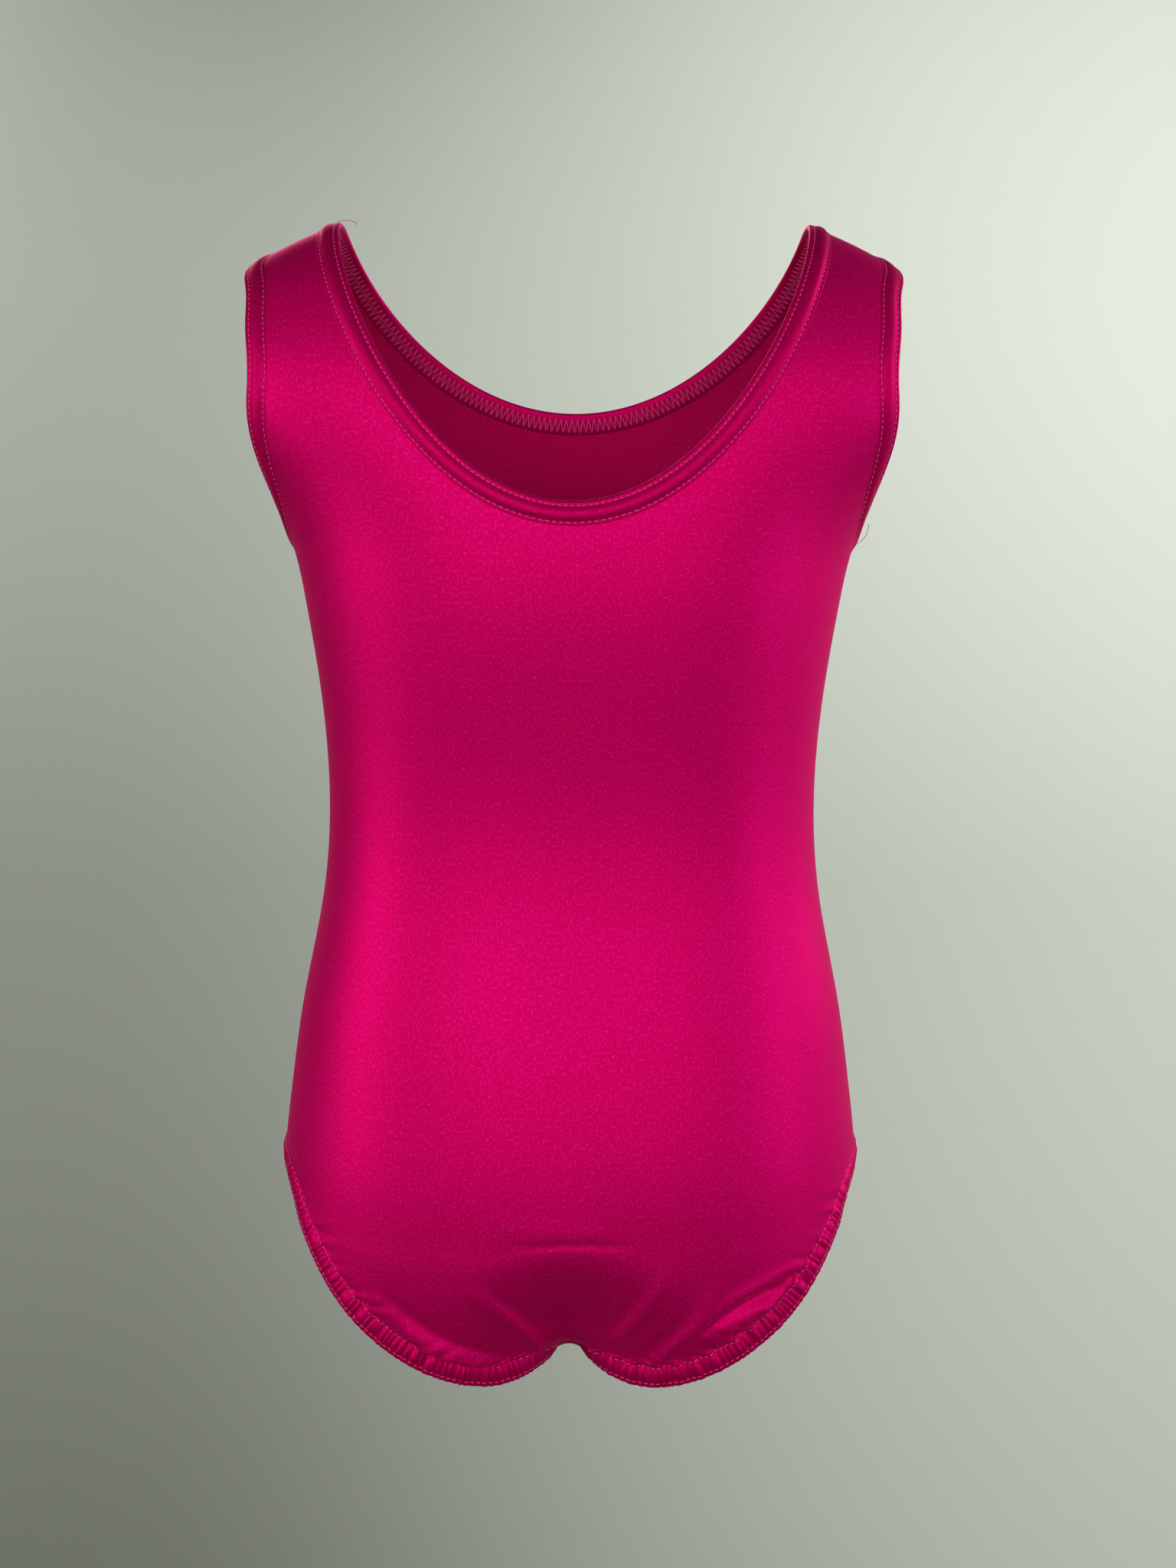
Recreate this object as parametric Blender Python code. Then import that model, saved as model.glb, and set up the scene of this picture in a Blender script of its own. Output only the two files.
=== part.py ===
# A sleeveless leotard in its worn shape, hollow and with nothing inside it. It is cut from a
# stretch satin knit as one back and one front, sewn together at the shoulders, the sides and the
# crotch. The neck, both armholes and both leg openings are turned in over elastic, as casings.
# Blender metres, +Z up. The front faces -Y and the wearer's left is +X. The origin lies midway
# between the shoulder straps, level with the neck ends of the shoulder seams.
# All sizes below are in millimetres, and in radians where a name ends in _turn.

import bpy
import numpy as np
from mathutils import Vector, geometry

MM = 0.001

# Cloth
PANEL_THICKNESS = 1.2
SEAM_HALF_GAP = 0.15
CASING_WIDTH = 9.0
CASING_GAP = 0.3

# Rings of the worn shape, from the neck ends of the shoulder seams down to the widest seat.
# back and front are the depths from the side seam's plane to the middle of each panel.
RINGS = np.array(
    [
        (0.0, 93.0, 36.0, 36.0),  # neck end of the shoulder seam
        (-4.5, 104.0, 40.0, 40.0),
        (-9.0, 114.0, 43.5, 43.0),
        (-16.0, 127.0, 48.0, 47.5),  # arm end of the shoulder seam
        (-24.0, 139.0, 52.5, 51.5),
        (-36.0, 151.0, 57.5, 56.5),
        (-55.0, 159.0, 64.0, 63.0),  # through the armholes, where the ring spans the open arm
        (-72.0, 155.0, 68.0, 67.5),
        (-88.0, 141.5, 71.0, 71.0),
        (-105.0, 126.0, 73.5, 74.0),
        (-123.0, 115.5, 75.0, 76.0),  # underarm
        (-149.0, 108.8, 75.0, 78.0),
        (-185.0, 103.0, 71.5, 78.5),
        (-230.0, 99.6, 67.0, 78.0),  # waist
        (-270.0, 102.3, 69.0, 79.0),
        (-315.0, 111.0, 77.5, 80.5),
        (-350.0, 116.0, 83.5, 80.0),
        (-381.0, 119.2, 86.5, 78.5),  # top of the leg openings
        (-400.0, 119.6, 86.5, 77.0),  # widest seat
    ],
    dtype=[("z", float), ("half_width", float), ("back", float), ("front", float)],
)
RING_SQUARENESS = 2.3

# Below the widest seat the shape closes in a rounded bowl, which arches up in the middle for
# the crotch.
BOWL_TOP = RINGS["z"][-1]
BOWL_DEPTH = 92.0
BOWL_SQUARENESS = 2.05
ARCH_RISE = 31.0
ARCH_START_TURN = 0.25
ARCH_FULL_TURN = 0.95
ARCH_HALF_WIDTH_BACK = 16.0
ARCH_HALF_WIDTH_FRONT = 50.0
ARCH_HALF_WIDTH_CROTCH = 32.0
CROTCH_LEVEL = BOWL_TOP - BOWL_DEPTH * np.pi / 2

# Neckline, as seen square on: half width at the shoulder seam and the drop of each scoop.
NECK_HALF_WIDTH = 93.0
NECK_BACK_DROP = 110.0
NECK_FRONT_DROP = 72.0
NECK_SCOOP_POWER = 1.43

# Armhole and leg lines. turn runs from 0 at the middle of the back, over a quarter turn at the
# side seam, to a half turn at the middle of the front. level is the height on the rings, and
# goes on below BOWL_TOP as a length down the bowl. flare is how far the free edge stands off
# the worn shape.
LINE = [("turn", float), ("level", float), ("flare", float)]
ARMHOLE = np.array(
    [
        (1.571, -16.0, 0.0),  # shoulder seam
        (1.260, -20.5, 0.0),
        (1.014, -29.5, 0.0),
        (0.899, -43.5, 0.0),
        (0.865, -64.5, 0.0),
        (1.026, -88.5, 0.0),
        (1.223, -106.0, 0.0),
        (1.400, -118.0, 0.0),
        (1.571, -123.0, 0.0),  # side seam
        (1.830, -119.5, 0.0),
        (2.040, -108.0, 0.0),
        (2.190, -91.0, 0.0),
        (2.270, -69.0, 0.0),
        (2.240, -47.0, 0.0),
        (2.100, -30.0, 0.0),
        (1.860, -19.5, 0.0),
    ],
    dtype=LINE,
)
LEG = np.array(
    [
        (0.150, CROTCH_LEVEL, 0.0),  # crotch seam, back
        (0.125, -522.0, 0.0),
        (0.100, -501.0, 0.3),
        (0.086, -483.0, 0.8),
        (0.100, -468.5, 2.5),
        (0.150, -463.0, 4.0),
        (0.235, -463.0, 4.5),
        (0.400, -462.0, 4.5),
        (0.550, -456.0, 4.5),
        (0.700, -447.0, 3.7),
        (0.868, -431.0, 2.4),
        (1.010, -410.0, 1.4),
        (1.145, -391.5, 0.5),
        (1.350, -383.0, 0.0),
        (1.571, -381.0, 0.0),  # side seam
        (1.830, -380.0, 0.0),
        (2.085, -387.0, 0.0),
        (2.274, -397.0, 0.0),
        (2.450, -411.0, 0.0),
        (2.630, -432.0, 0.0),
        (2.800, -457.5, 0.0),
        (2.920, -486.0, 0.0),
        (2.975, -513.0, 0.0),
        (np.pi - 0.150, CROTCH_LEVEL, 0.0),  # crotch seam, front
    ],
    dtype=LINE,
)
LINE_SAMPLES = 600

# Casing sections. across runs from the free edge to the panel, and proud is the height over the
# panel's outer face. gather is the share of a pucker's height that the point takes.
SECTION = [("across", float), ("proud", float), ("gather", float)]
CASING_SECTION = np.array(
    [
        (0.0, -0.4, 0.2),
        (0.9, 0.5, 0.5),
        (1.9, 0.3, 0.3),  # first row of stitches
        (5.0, 0.9, 1.0),  # over the elastic
        (8.2, 0.3, 0.4),  # second row of stitches
        (CASING_WIDTH, 0.2, 0.0),
        (CASING_WIDTH, -1.4, 0.0),
        (0.6, -1.4, 0.0),
    ],
    dtype=SECTION,
)
NECK_PROUD_TIMES = 1.8
NECK_COLUMNS = 88
ARMHOLE_COLUMNS = 56
GATHERS_PER_LEG = 100
COLUMNS_PER_STATION = 2
GATHER_HEIGHT_BACK = 0.9
GATHER_HEIGHT_FRONT = 0.5

# Rows of points inside a panel: from each level downward, this far apart.
ROW_STEPS = np.array(
    [(0.0, 5.0), (-24.0, 9.0), (-60.0, 14.5), (-390.0, 7.5), (-430.0, 5.5)],
    dtype=[("level", float), ("step", float)],
)
BORDER_CLEARANCE = 0.55  # of the step
SEAM_STEP = 10.0
CROTCH_STEPS = 3
ROUND_TO_MM = 100.0  # a turn of one is about this long on the form

# Soft folds that the gathered leg casings throw into the back, as seen square on. foot is at the
# casing and tip in the panel, bow is the sideways swing of the middle, and x is to the
# wearer's left.
FOLDS = np.array(
    [
        (72.0, -424.0, 14.0, -453.0, 4.5, 2.4, 4.5),  # long roll over the left casing
        (34.0, -419.0, 8.0, -450.0, 3.0, 1.4, 4.5),
        (-34.0, -414.0, -15.0, -437.0, -2.0, 1.2, 4.5),
        (-88.0, -416.0, -45.0, -447.0, 2.0, 2.2, 4.5),
        (-58.0, -427.0, -38.0, -441.0, -1.5, 1.6, 4.0),
    ],
    dtype=[
        ("foot_x", float),
        ("foot_z", float),
        ("tip_x", float),
        ("tip_z", float),
        ("bow", float),
        ("height", float),
        ("half_width", float),
    ],
)
FOLD_STEPS = 24

PROBE = 1e-3
WALK_STEPS = 6


def spline(knots, values, places):
    """Natural cubic spline through the knots, which rise, read at the places."""
    gaps = np.diff(knots)
    slopes = np.diff(values) / gaps
    count = len(knots)
    system = np.eye(count)
    right = np.zeros(count)
    for i in range(1, count - 1):
        system[i, i - 1 : i + 2] = gaps[i - 1], 2 * (gaps[i - 1] + gaps[i]), gaps[i]
        right[i] = 6 * (slopes[i] - slopes[i - 1])
    bends = np.linalg.solve(system, right)
    i = np.clip(np.searchsorted(knots, places) - 1, 0, count - 2)
    gap = gaps[i]
    to_next = knots[i + 1] - places
    from_last = places - knots[i]
    curved = (bends[i] * to_next**3 + bends[i + 1] * from_last**3) / (6 * gap)
    left_part = (values[i] / gap - bends[i] * gap / 6) * to_next
    right_part = (values[i + 1] / gap - bends[i + 1] * gap / 6) * from_last
    return curved + left_part + right_part


def ring_size(column, z):
    return spline(RINGS["z"][::-1], RINGS[column][::-1], z)


def rounded(turn, squareness):
    """Sine and cosine of a turn round a superellipse with that power."""
    sine, cosine = np.sin(turn), np.cos(turn)
    reach = (abs(sine) ** squareness + abs(cosine) ** squareness) ** (-1 / squareness)
    return sine * reach, cosine * reach


def smooth_step(value, start, end):
    share = np.clip((value - start) / (end - start), 0, 1)
    return share * share * (3 - 2 * share)


def form(turn, level):
    """Points of the worn shape's outer face, in millimetres."""
    z = np.maximum(level, BOWL_TOP)
    bowl_turn = np.maximum(BOWL_TOP - level, 0) / BOWL_DEPTH
    sideways, lengthways = rounded(turn, RING_SQUARENESS)
    down, out = rounded(bowl_turn, BOWL_SQUARENESS)
    back, front = ring_size("back", z), ring_size("front", z)
    depth = (back + front) / 2 + (back - front) / 2 * np.cos(turn)
    x = ring_size("half_width", z) * sideways
    y = depth * lengthways * out
    arch = np.where(np.cos(turn) > 0, ARCH_HALF_WIDTH_BACK, ARCH_HALF_WIDTH_FRONT)
    arch = arch + (ARCH_HALF_WIDTH_CROTCH - arch) * smooth_step(bowl_turn, ARCH_FULL_TURN, np.pi / 2)
    rise = ARCH_RISE * smooth_step(bowl_turn, ARCH_START_TURN, ARCH_FULL_TURN)
    drop = BOWL_DEPTH - rise * np.exp(-((x / arch) ** 2))
    return np.stack([x, y, z - drop * abs(lengthways) * down], axis=-1)


def slopes_of_form(turn, level):
    """How the form moves with a small step of turn, and of level."""
    by_turn = (form(turn + PROBE, level) - form(turn - PROBE, level)) / (2 * PROBE)
    by_level = (form(turn, level + PROBE) - form(turn, level - PROBE)) / (2 * PROBE)
    return by_turn, by_level


def unit(vectors):
    return vectors / np.linalg.norm(vectors, axis=-1, keepdims=True)


def outward(turn, level):
    by_turn, by_level = slopes_of_form(turn, level)
    return unit(np.cross(by_level, by_turn))


def spaced(line, count):
    """The line again, as that many points evenly far apart on the form."""
    points = form(line[:, 0], line[:, 1])
    steps = np.linalg.norm(np.diff(points, axis=0), axis=1)
    run = np.concatenate([[0], np.cumsum(steps)])
    wanted = np.linspace(0, run[-1], count)
    return np.stack([np.interp(wanted, run, column) for column in line.T], axis=1)


def curve_through(rows):
    """A dense smooth curve through rows of turn, level and flare."""
    points = form(rows[:, 0], rows[:, 1])
    knots = np.concatenate([[0], np.cumsum(np.linalg.norm(np.diff(points, axis=0), axis=1))])
    places = np.linspace(0, knots[-1], LINE_SAMPLES)
    return np.stack([spline(knots, column, places) for column in rows.T], axis=1)


def table_rows(table):
    return np.stack([table[name] for name in table.dtype.names], axis=1)


def armhole_line():
    """The closed armhole line, from the shoulder seam down the back and up the front."""
    rows = table_rows(ARMHOLE)
    line = curve_through(rows[np.arange(-3, len(rows) + 4) % len(rows)])
    far = np.linalg.norm(form(line[:, 0], line[:, 1]) - form(rows[0, 0], rows[0, 1]), axis=1)
    half = LINE_SAMPLES // 2
    first, last = np.argmin(far[:half]), half + np.argmin(far[half:])
    return line[first : last + 1]


def leg_line():
    """The closed leg line, from the crotch seam's back up over the hip and down to its front."""
    rows = table_rows(LEG)
    before, after = rows[[2, 1]], rows[[-2, -3]]
    before[:, 1] = 2 * CROTCH_LEVEL - before[:, 1]
    after[:, 1] = 2 * CROTCH_LEVEL - after[:, 1]
    line = curve_through(np.concatenate([before, rows, after]))
    return line[line[:, 1] >= CROTCH_LEVEL]


def neck_line():
    """The closed neckline, from the middle of the back over the left strap and round."""
    sweep = np.linspace(0, np.pi / 2, LINE_SAMPLES // 4)
    halves = []
    for drop in (NECK_BACK_DROP, NECK_FRONT_DROP):
        x = NECK_HALF_WIDTH * np.sin(sweep)
        z = -drop * np.abs(np.cos(sweep)) ** NECK_SCOOP_POWER
        share = np.clip(x / ring_size("half_width", z), 0, 1)
        along = (1 - share**RING_SQUARENESS) ** (1 / RING_SQUARENESS)
        halves.append(np.stack([np.arctan2(share, along), z, 0 * z], axis=1))
    back, front = halves
    front[:, 0] = np.pi - front[:, 0]
    left = np.concatenate([back, front[-2::-1]])
    right = left[-2::-1] * [-1, 1, 1]
    right[:, 0] += 2 * np.pi
    return np.concatenate([left, right])


def stations(line, columns, away_from):
    """The columns of a casing. Each is the line's point moved over the form, away from the
    opening, in steps from 0 to the panel's edge."""
    line = spaced(line, columns + 1)[:-1]
    turn, level, flare = line.T
    points = form(turn, level)
    along = unit(np.roll(points, -1, axis=0) - np.roll(points, 1, axis=0))
    heading = away_from * np.cross(outward(turn, level), along)
    steps = [np.stack([turn, level], axis=1)]
    for _ in range(WALK_STEPS):
        by_turn, by_level = slopes_of_form(turn, level)
        normal = unit(np.cross(by_level, by_turn))
        flat = heading - (heading * normal).sum(1, keepdims=True) * normal
        move = unit(flat) * (CASING_WIDTH + CASING_GAP) / WALK_STEPS
        tt, ll = (by_turn**2).sum(1), (by_level**2).sum(1)
        tl = (by_turn * by_level).sum(1)
        mt, ml = (move * by_turn).sum(1), (move * by_level).sum(1)
        turn = turn + (mt * ll - ml * tl) / (tt * ll - tl**2)
        level = level + (ml * tt - mt * tl) / (tt * ll - tl**2)
        steps.append(np.stack([turn, level], axis=1))
    return np.array(steps), flare


def across_steps(steps, across):
    """The casing's line at that distance from its free edge."""
    place = across / (CASING_WIDTH + CASING_GAP) * WALK_STEPS
    low = min(int(place), WALK_STEPS - 1)
    return steps[low] + (steps[low + 1] - steps[low]) * (place - low)


def neck_stations():
    return stations(neck_line(), NECK_COLUMNS, 1)


def armhole_stations():
    return stations(armhole_line(), ARMHOLE_COLUMNS, 1)


def leg_stations():
    return stations(leg_line(), 2 * GATHERS_PER_LEG, -1)


def add_object(name, points, faces, colour):
    mesh = bpy.data.meshes.new(name)
    mesh.from_pydata([tuple(point) for point in points * MM], [], faces)
    mesh.validate()
    mesh.shade_smooth()
    mesh.set_sharp_from_angle(angle=np.radians(50))
    piece = bpy.data.objects.new(name, mesh)
    bpy.data.collections["Leotard"].objects.link(piece)
    material = bpy.data.materials.new(name)
    material.use_nodes = True
    shader = material.node_tree.nodes["Principled BSDF"]
    shader.inputs["Base Color"].default_value = colour
    shader.inputs["Roughness"].default_value = 0.42
    shader.inputs["Metallic"].default_value = 0.0
    mesh.materials.append(material)
    return piece


SATIN = (0.52, 0.0, 0.10, 1.0)
CASING = (0.40, 0.0, 0.08, 1.0)


def volume_times_six(points, faces):
    """Positive when the faces of a closed mesh point out. Quads are read as two triangles."""
    corners = [(f[0], f[k], f[k + 1]) for f in faces for k in range(1, len(f) - 1)]
    a, b, c = (points[list(index)] for index in zip(*corners))
    return (a * np.cross(b, c)).sum()


def facing_out(points, faces):
    return faces if volume_times_six(points, faces) > 0 else [face[::-1] for face in faces]


def tube_faces(columns, corners):
    """Quads round a closed tube of columns."""
    faces = []
    for i in range(columns):
        a, b = i * corners, (i + 1) % columns * corners
        for k in range(corners):
            n = (k + 1) % corners
            faces.append((a + k, a + n, b + n, b + k))
    return faces


def casing_points(steps, flare, proud_times=1.0, puckers=0.0):
    """Corners of a casing's sections. puckers is the outer face's rise at each column."""
    rows = []
    for across, proud, gather in CASING_SECTION:
        turn, level = across_steps(steps, across).T
        rise = max(proud, 0) * proud_times + min(proud, 0) + gather * puckers
        rise = rise + flare * (1 - across / CASING_WIDTH)
        rows.append(form(turn, level) + outward(turn, level) * rise[:, None])
    return np.stack(rows, axis=1)


def straight_between_stations(points):
    """The casing again, its panel edge straight between stations as the panel's border is."""
    edge = CASING_SECTION["across"] == CASING_WIDTH
    station = points[::COLUMNS_PER_STATION, edge]
    following = np.roll(station, -1, axis=0)
    points = points.copy()
    for k in range(1, COLUMNS_PER_STATION):
        between = station + (following - station) * k / COLUMNS_PER_STATION
        points[k::COLUMNS_PER_STATION, edge] = between
    return points


def mirrored(points):
    return points * np.array([-1, 1, 1])


def add_casing(name, points):
    faces = tube_faces(*points.shape[:2])
    flat = points.reshape(-1, 3)
    return add_object(name, flat, facing_out(flat, faces), CASING)


def add_neck_casing():
    steps, flare = neck_stations()
    add_casing("neck_casing", casing_points(steps, flare, NECK_PROUD_TIMES))


def add_armhole_casings():
    points = casing_points(*armhole_stations())
    add_casing("armhole_casing_left", points)
    add_casing("armhole_casing_right", mirrored(points))


def add_leg_casings():
    """Two columns make a pucker: its crest and its trough."""
    steps, flare = leg_stations()
    back_share = smooth_step(-steps[0, :, 0], -np.pi / 2, -np.pi / 4)
    height = GATHER_HEIGHT_FRONT + (GATHER_HEIGHT_BACK - GATHER_HEIGHT_FRONT) * back_share
    puckers = height * np.where(np.arange(len(flare)) % 2, -0.5, 0.5)
    points = straight_between_stations(casing_points(steps, flare, puckers=puckers))
    add_casing("leg_casing_left", points)
    add_casing("leg_casing_right", mirrored(points))


def fold_rise(points):
    """Outward rise of the cloth where the folds pass, worked out in the square-on view."""
    rise = np.zeros(points.shape[:-1])
    share = np.linspace(0, 1, FOLD_STEPS)
    for fold in FOLDS:
        foot = np.array([fold["foot_x"], fold["foot_z"]])
        tip = np.array([fold["tip_x"], fold["tip_z"]])
        side = unit(np.array([foot[1] - tip[1], tip[0] - foot[0]]))
        bow = fold["bow"] * np.sin(np.pi * share)
        ridge = foot + (tip - foot) * share[:, None] + side * bow[:, None]
        far = np.linalg.norm(points[..., None, (0, 2)] - ridge, axis=-1)
        nearest = share[np.argmin(far, axis=-1)]
        taper = np.sin(np.pi * np.clip(nearest, 0.08, 0.98)) ** 0.7
        rise += fold["height"] * taper * np.exp(-((far.min(axis=-1) / fold["half_width"]) ** 2))
    return rise


def seam_turn(level):
    """The panel's turn at the side or shoulder seam, half a seam gap short of the quarter turn."""
    depth = ring_size("back", np.maximum(level, BOWL_TOP))
    return np.pi / 2 - SEAM_HALF_GAP / depth


def to_the_seams(line):
    """The part of a line of turns and levels on this panel's left half, cut at the seams."""
    crotch = CROTCH_LEVEL + SEAM_HALF_GAP
    short = SEAM_HALF_GAP * 4 / ROUND_TO_MM
    inside = (line[:, 0] < seam_turn(line[:, 1]) - short) & (line[:, 0] > -short)
    inside &= line[:, 1] > crotch + 4 * SEAM_HALF_GAP
    first = np.flatnonzero(inside & ~np.roll(inside, 1))[0]
    line = np.roll(line, -first, axis=0)
    count = inside.sum()
    kept = [line[:count]]
    for end, past in ((line[0], line[-1]), (line[count - 1], line[count])):
        if past[1] <= crotch + 4 * SEAM_HALF_GAP:
            cut = [end[0], crotch]
        elif past[0] <= 0:
            cut = None
        else:
            level = np.interp(np.pi / 2, [end[0], past[0]], [end[1], past[1]])
            cut = [seam_turn(level), level]
        kept.append(np.reshape(cut, (-1, 2)) if cut else np.empty((0, 2)))
    return np.concatenate([kept[1], kept[0], kept[2]])


def panel_border(front):
    """The closed border of a panel in turns and levels, the turns from the panel's own middle."""
    parts = []
    for found, every in (
        (leg_stations, COLUMNS_PER_STATION),
        (armhole_stations, 1),
        (neck_stations, 1),
    ):
        steps, _ = found()
        line = steps[-1, ::every].copy()
        if front:
            line[:, 0] = np.pi - line[:, 0]
        line[:, 0] = (line[:, 0] + np.pi) % (2 * np.pi) - np.pi
        parts.append(to_the_seams(line))
    leg, armhole, neck = parts
    leg = leg if leg[0, 1] < leg[-1, 1] else leg[::-1]
    armhole = armhole if armhole[0, 1] < armhole[-1, 1] else armhole[::-1]
    neck = neck if neck[0, 1] > neck[-1, 1] else neck[::-1]
    crotch = np.linspace([0, leg[0, 1]], leg[0], CROTCH_STEPS + 1)
    side = straight_seam(leg[-1, 1], armhole[0, 1])
    shoulder = straight_seam(armhole[-1, 1], neck[0, 1])
    half = np.concatenate([crotch[:-1], leg, side, armhole, shoulder, neck])
    other = half[::-1] * [-1, 1]
    return np.concatenate([half, other[abs(other[:, 0]) > 1e-9]])


def straight_seam(low, high):
    """The points between the ends of a side or shoulder seam."""
    count = max(int(abs(high - low) / SEAM_STEP), 2)
    levels = np.linspace(low, high, count + 1)[1:-1]
    return np.stack([seam_turn(levels), levels], axis=1)


def own_form(places, front):
    """The form at turns from the panel's own middle, and levels."""
    return form(np.pi - places[:, 0] if front else places[:, 0], places[:, 1])


def clearance(places, border, front):
    """How far each place is from the border, on the form."""
    spots, one = own_form(places, front)[:, None], own_form(border, front)
    side = np.roll(one, -1, axis=0) - one
    share = ((spots - one) * side).sum(-1) / (side**2).sum(-1)
    near = one + side * np.clip(share, 0, 1)[..., None]
    return np.linalg.norm(spots - near, axis=-1).min(axis=1)


def within(places, border):
    """Whether each place lies inside the border: a line from it crosses the border an odd
    number of times."""
    turn, level = places[:, :1], places[:, 1:2]
    one, two = border, np.roll(border, -1, axis=0)
    spans = (one[:, 1] > level) != (two[:, 1] > level)
    climb = np.where(one[:, 1] == two[:, 1], 1.0, two[:, 1] - one[:, 1])
    meets = one[:, 0] + (level - one[:, 1]) / climb * (two[:, 0] - one[:, 0])
    return (spans & (meets > turn)).sum(1) % 2 == 1


def inner_points(border, front):
    """Staggered rows of points inside the border, clear of it."""
    low, high = border[:, 1].min(), border[:, 1].max()
    rows, level, odd = [], high, False
    while level > low:
        step = ROW_STEPS["step"][ROW_STEPS["level"] >= level][-1]
        count = int(ROUND_TO_MM * np.pi / step / 1.1)
        turns = (np.arange(count + 1) - count / 2 + odd / 2) * np.pi / count
        rows.append(np.stack([turns, 0 * turns + level, 0 * turns + step], axis=1))
        level, odd = level - step, not odd
    points = np.concatenate(rows)
    clear = clearance(points, border, front) > BORDER_CLEARANCE * points[:, 2]
    return points[clear & within(points, border), :2]


def add_panel(name, front):
    """A panel's two faces, triangulated in turns and levels, and the rim between them."""
    border = panel_border(front)
    places = np.concatenate([border, inner_points(border, front)])
    loop = list(range(len(border)))
    flat = [Vector(pair) for pair in places * [ROUND_TO_MM, 1]]
    edges = [(k, (k + 1) % len(loop)) for k in loop]
    _, _, triangles, sources, _, _ = geometry.delaunay_2d_cdt(flat, edges, [], 1, 1e-6)
    triangles = [tuple(sources[k][0] for k in face) for face in triangles]
    turn = np.pi - places[:, 0] if front else places[:, 0]
    points, normals = form(turn, places[:, 1]), outward(turn, places[:, 1])
    if not front:
        points = points + normals * fold_rise(points)[:, None]
    count = len(points)
    faces = triangles + [tuple(k + count for k in face[::-1]) for face in triangles]
    faces += [(b, a, a + count, b + count) for a, b in edges]
    points = np.concatenate([points, points - normals * PANEL_THICKNESS])
    return add_object(name, points, facing_out(points, faces), SATIN)


def main():
    for old in list(bpy.data.objects):
        bpy.data.objects.remove(old)
    collection = bpy.data.collections.new("Leotard")
    bpy.context.scene.collection.children.link(collection)
    add_panel("back_panel", front=False)
    add_panel("front_panel", front=True)
    add_neck_casing()
    add_armhole_casings()
    add_leg_casings()


main()
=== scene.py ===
import bpy
import numpy as np
from mathutils import Matrix, Vector


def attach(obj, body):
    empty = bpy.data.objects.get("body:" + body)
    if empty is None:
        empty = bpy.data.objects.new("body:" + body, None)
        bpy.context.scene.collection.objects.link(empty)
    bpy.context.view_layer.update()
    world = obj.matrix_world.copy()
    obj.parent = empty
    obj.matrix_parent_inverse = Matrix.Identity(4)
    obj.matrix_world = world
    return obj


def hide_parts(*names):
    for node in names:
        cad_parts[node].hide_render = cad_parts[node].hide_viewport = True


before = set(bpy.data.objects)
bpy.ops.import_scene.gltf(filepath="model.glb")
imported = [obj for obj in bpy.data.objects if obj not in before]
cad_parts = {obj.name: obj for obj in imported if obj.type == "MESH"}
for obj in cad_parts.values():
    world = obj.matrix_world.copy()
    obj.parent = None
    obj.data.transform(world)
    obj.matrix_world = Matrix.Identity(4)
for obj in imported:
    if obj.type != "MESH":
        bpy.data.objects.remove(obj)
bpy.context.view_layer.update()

# Back panel
# One piece of nylon and elastane satin knit with a deep scooped neck, stretched over the wearer's
# back. It is joined to the front along the shoulders, the sides and the crotch. All sizes are in
# millimetres until a mesh is made, and in radians where a name ends in _turn.

MM = 0.001
# Level below the neck ends of the shoulder seams, half width, and depth of the back and front.
RINGS = np.array(
    [
        (0.0, 93.0, 36.0, 36.0),  # neck end of the shoulder seam
        (-4.5, 104.0, 40.0, 40.0),
        (-9.0, 114.0, 43.5, 43.0),
        (-16.0, 127.0, 48.0, 47.5),  # arm end of the shoulder seam
        (-24.0, 139.0, 52.5, 51.5),
        (-36.0, 151.0, 57.5, 56.5),
        (-55.0, 159.0, 64.0, 63.0),
        (-72.0, 155.0, 68.0, 67.5),
        (-88.0, 141.5, 71.0, 71.0),
        (-105.0, 126.0, 73.5, 74.0),
        (-123.0, 115.5, 75.0, 76.0),  # underarm
        (-149.0, 108.8, 75.0, 78.0),
        (-185.0, 103.0, 71.5, 78.5),
        (-230.0, 99.6, 67.0, 78.0),  # waist
        (-270.0, 102.3, 69.0, 79.0),
        (-315.0, 111.0, 77.5, 80.5),
        (-350.0, 116.0, 83.5, 80.0),
        (-381.0, 119.2, 86.5, 78.5),  # top of the leg openings
        (-400.0, 119.6, 86.5, 77.0),  # widest seat
    ],
    dtype=[("z", float), ("half_width", float), ("back", float), ("front", float)],
)
RING_SQUARENESS = 2.3
BOWL_TOP = RINGS["z"][-1]
BOWL_DEPTH = 92.0
BOWL_SQUARENESS = 2.05
ARCH_RISE = 31.0
ARCH_START_TURN = 0.25
ARCH_FULL_TURN = 0.95
ARCH_HALF_WIDTH_BACK = 16.0
ARCH_HALF_WIDTH_FRONT = 50.0
ARCH_HALF_WIDTH_CROTCH = 32.0
CROTCH_LEVEL = BOWL_TOP - BOWL_DEPTH * np.pi / 2
PROBE = 1e-3
HOLLOW_DEPTH = 15.5
HOLLOW_TOP = 396.0  # how far below the straps the cloth starts to sink in under the seat
HOLLOW_FULL = 436.0
HOLLOW_HALF_WIDTH = 30.0
HOLLOW_SAG = 0.006
HOLLOW_FADES_OVER = (5.0, 60.0)  # of y, from the crotch to the back


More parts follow.
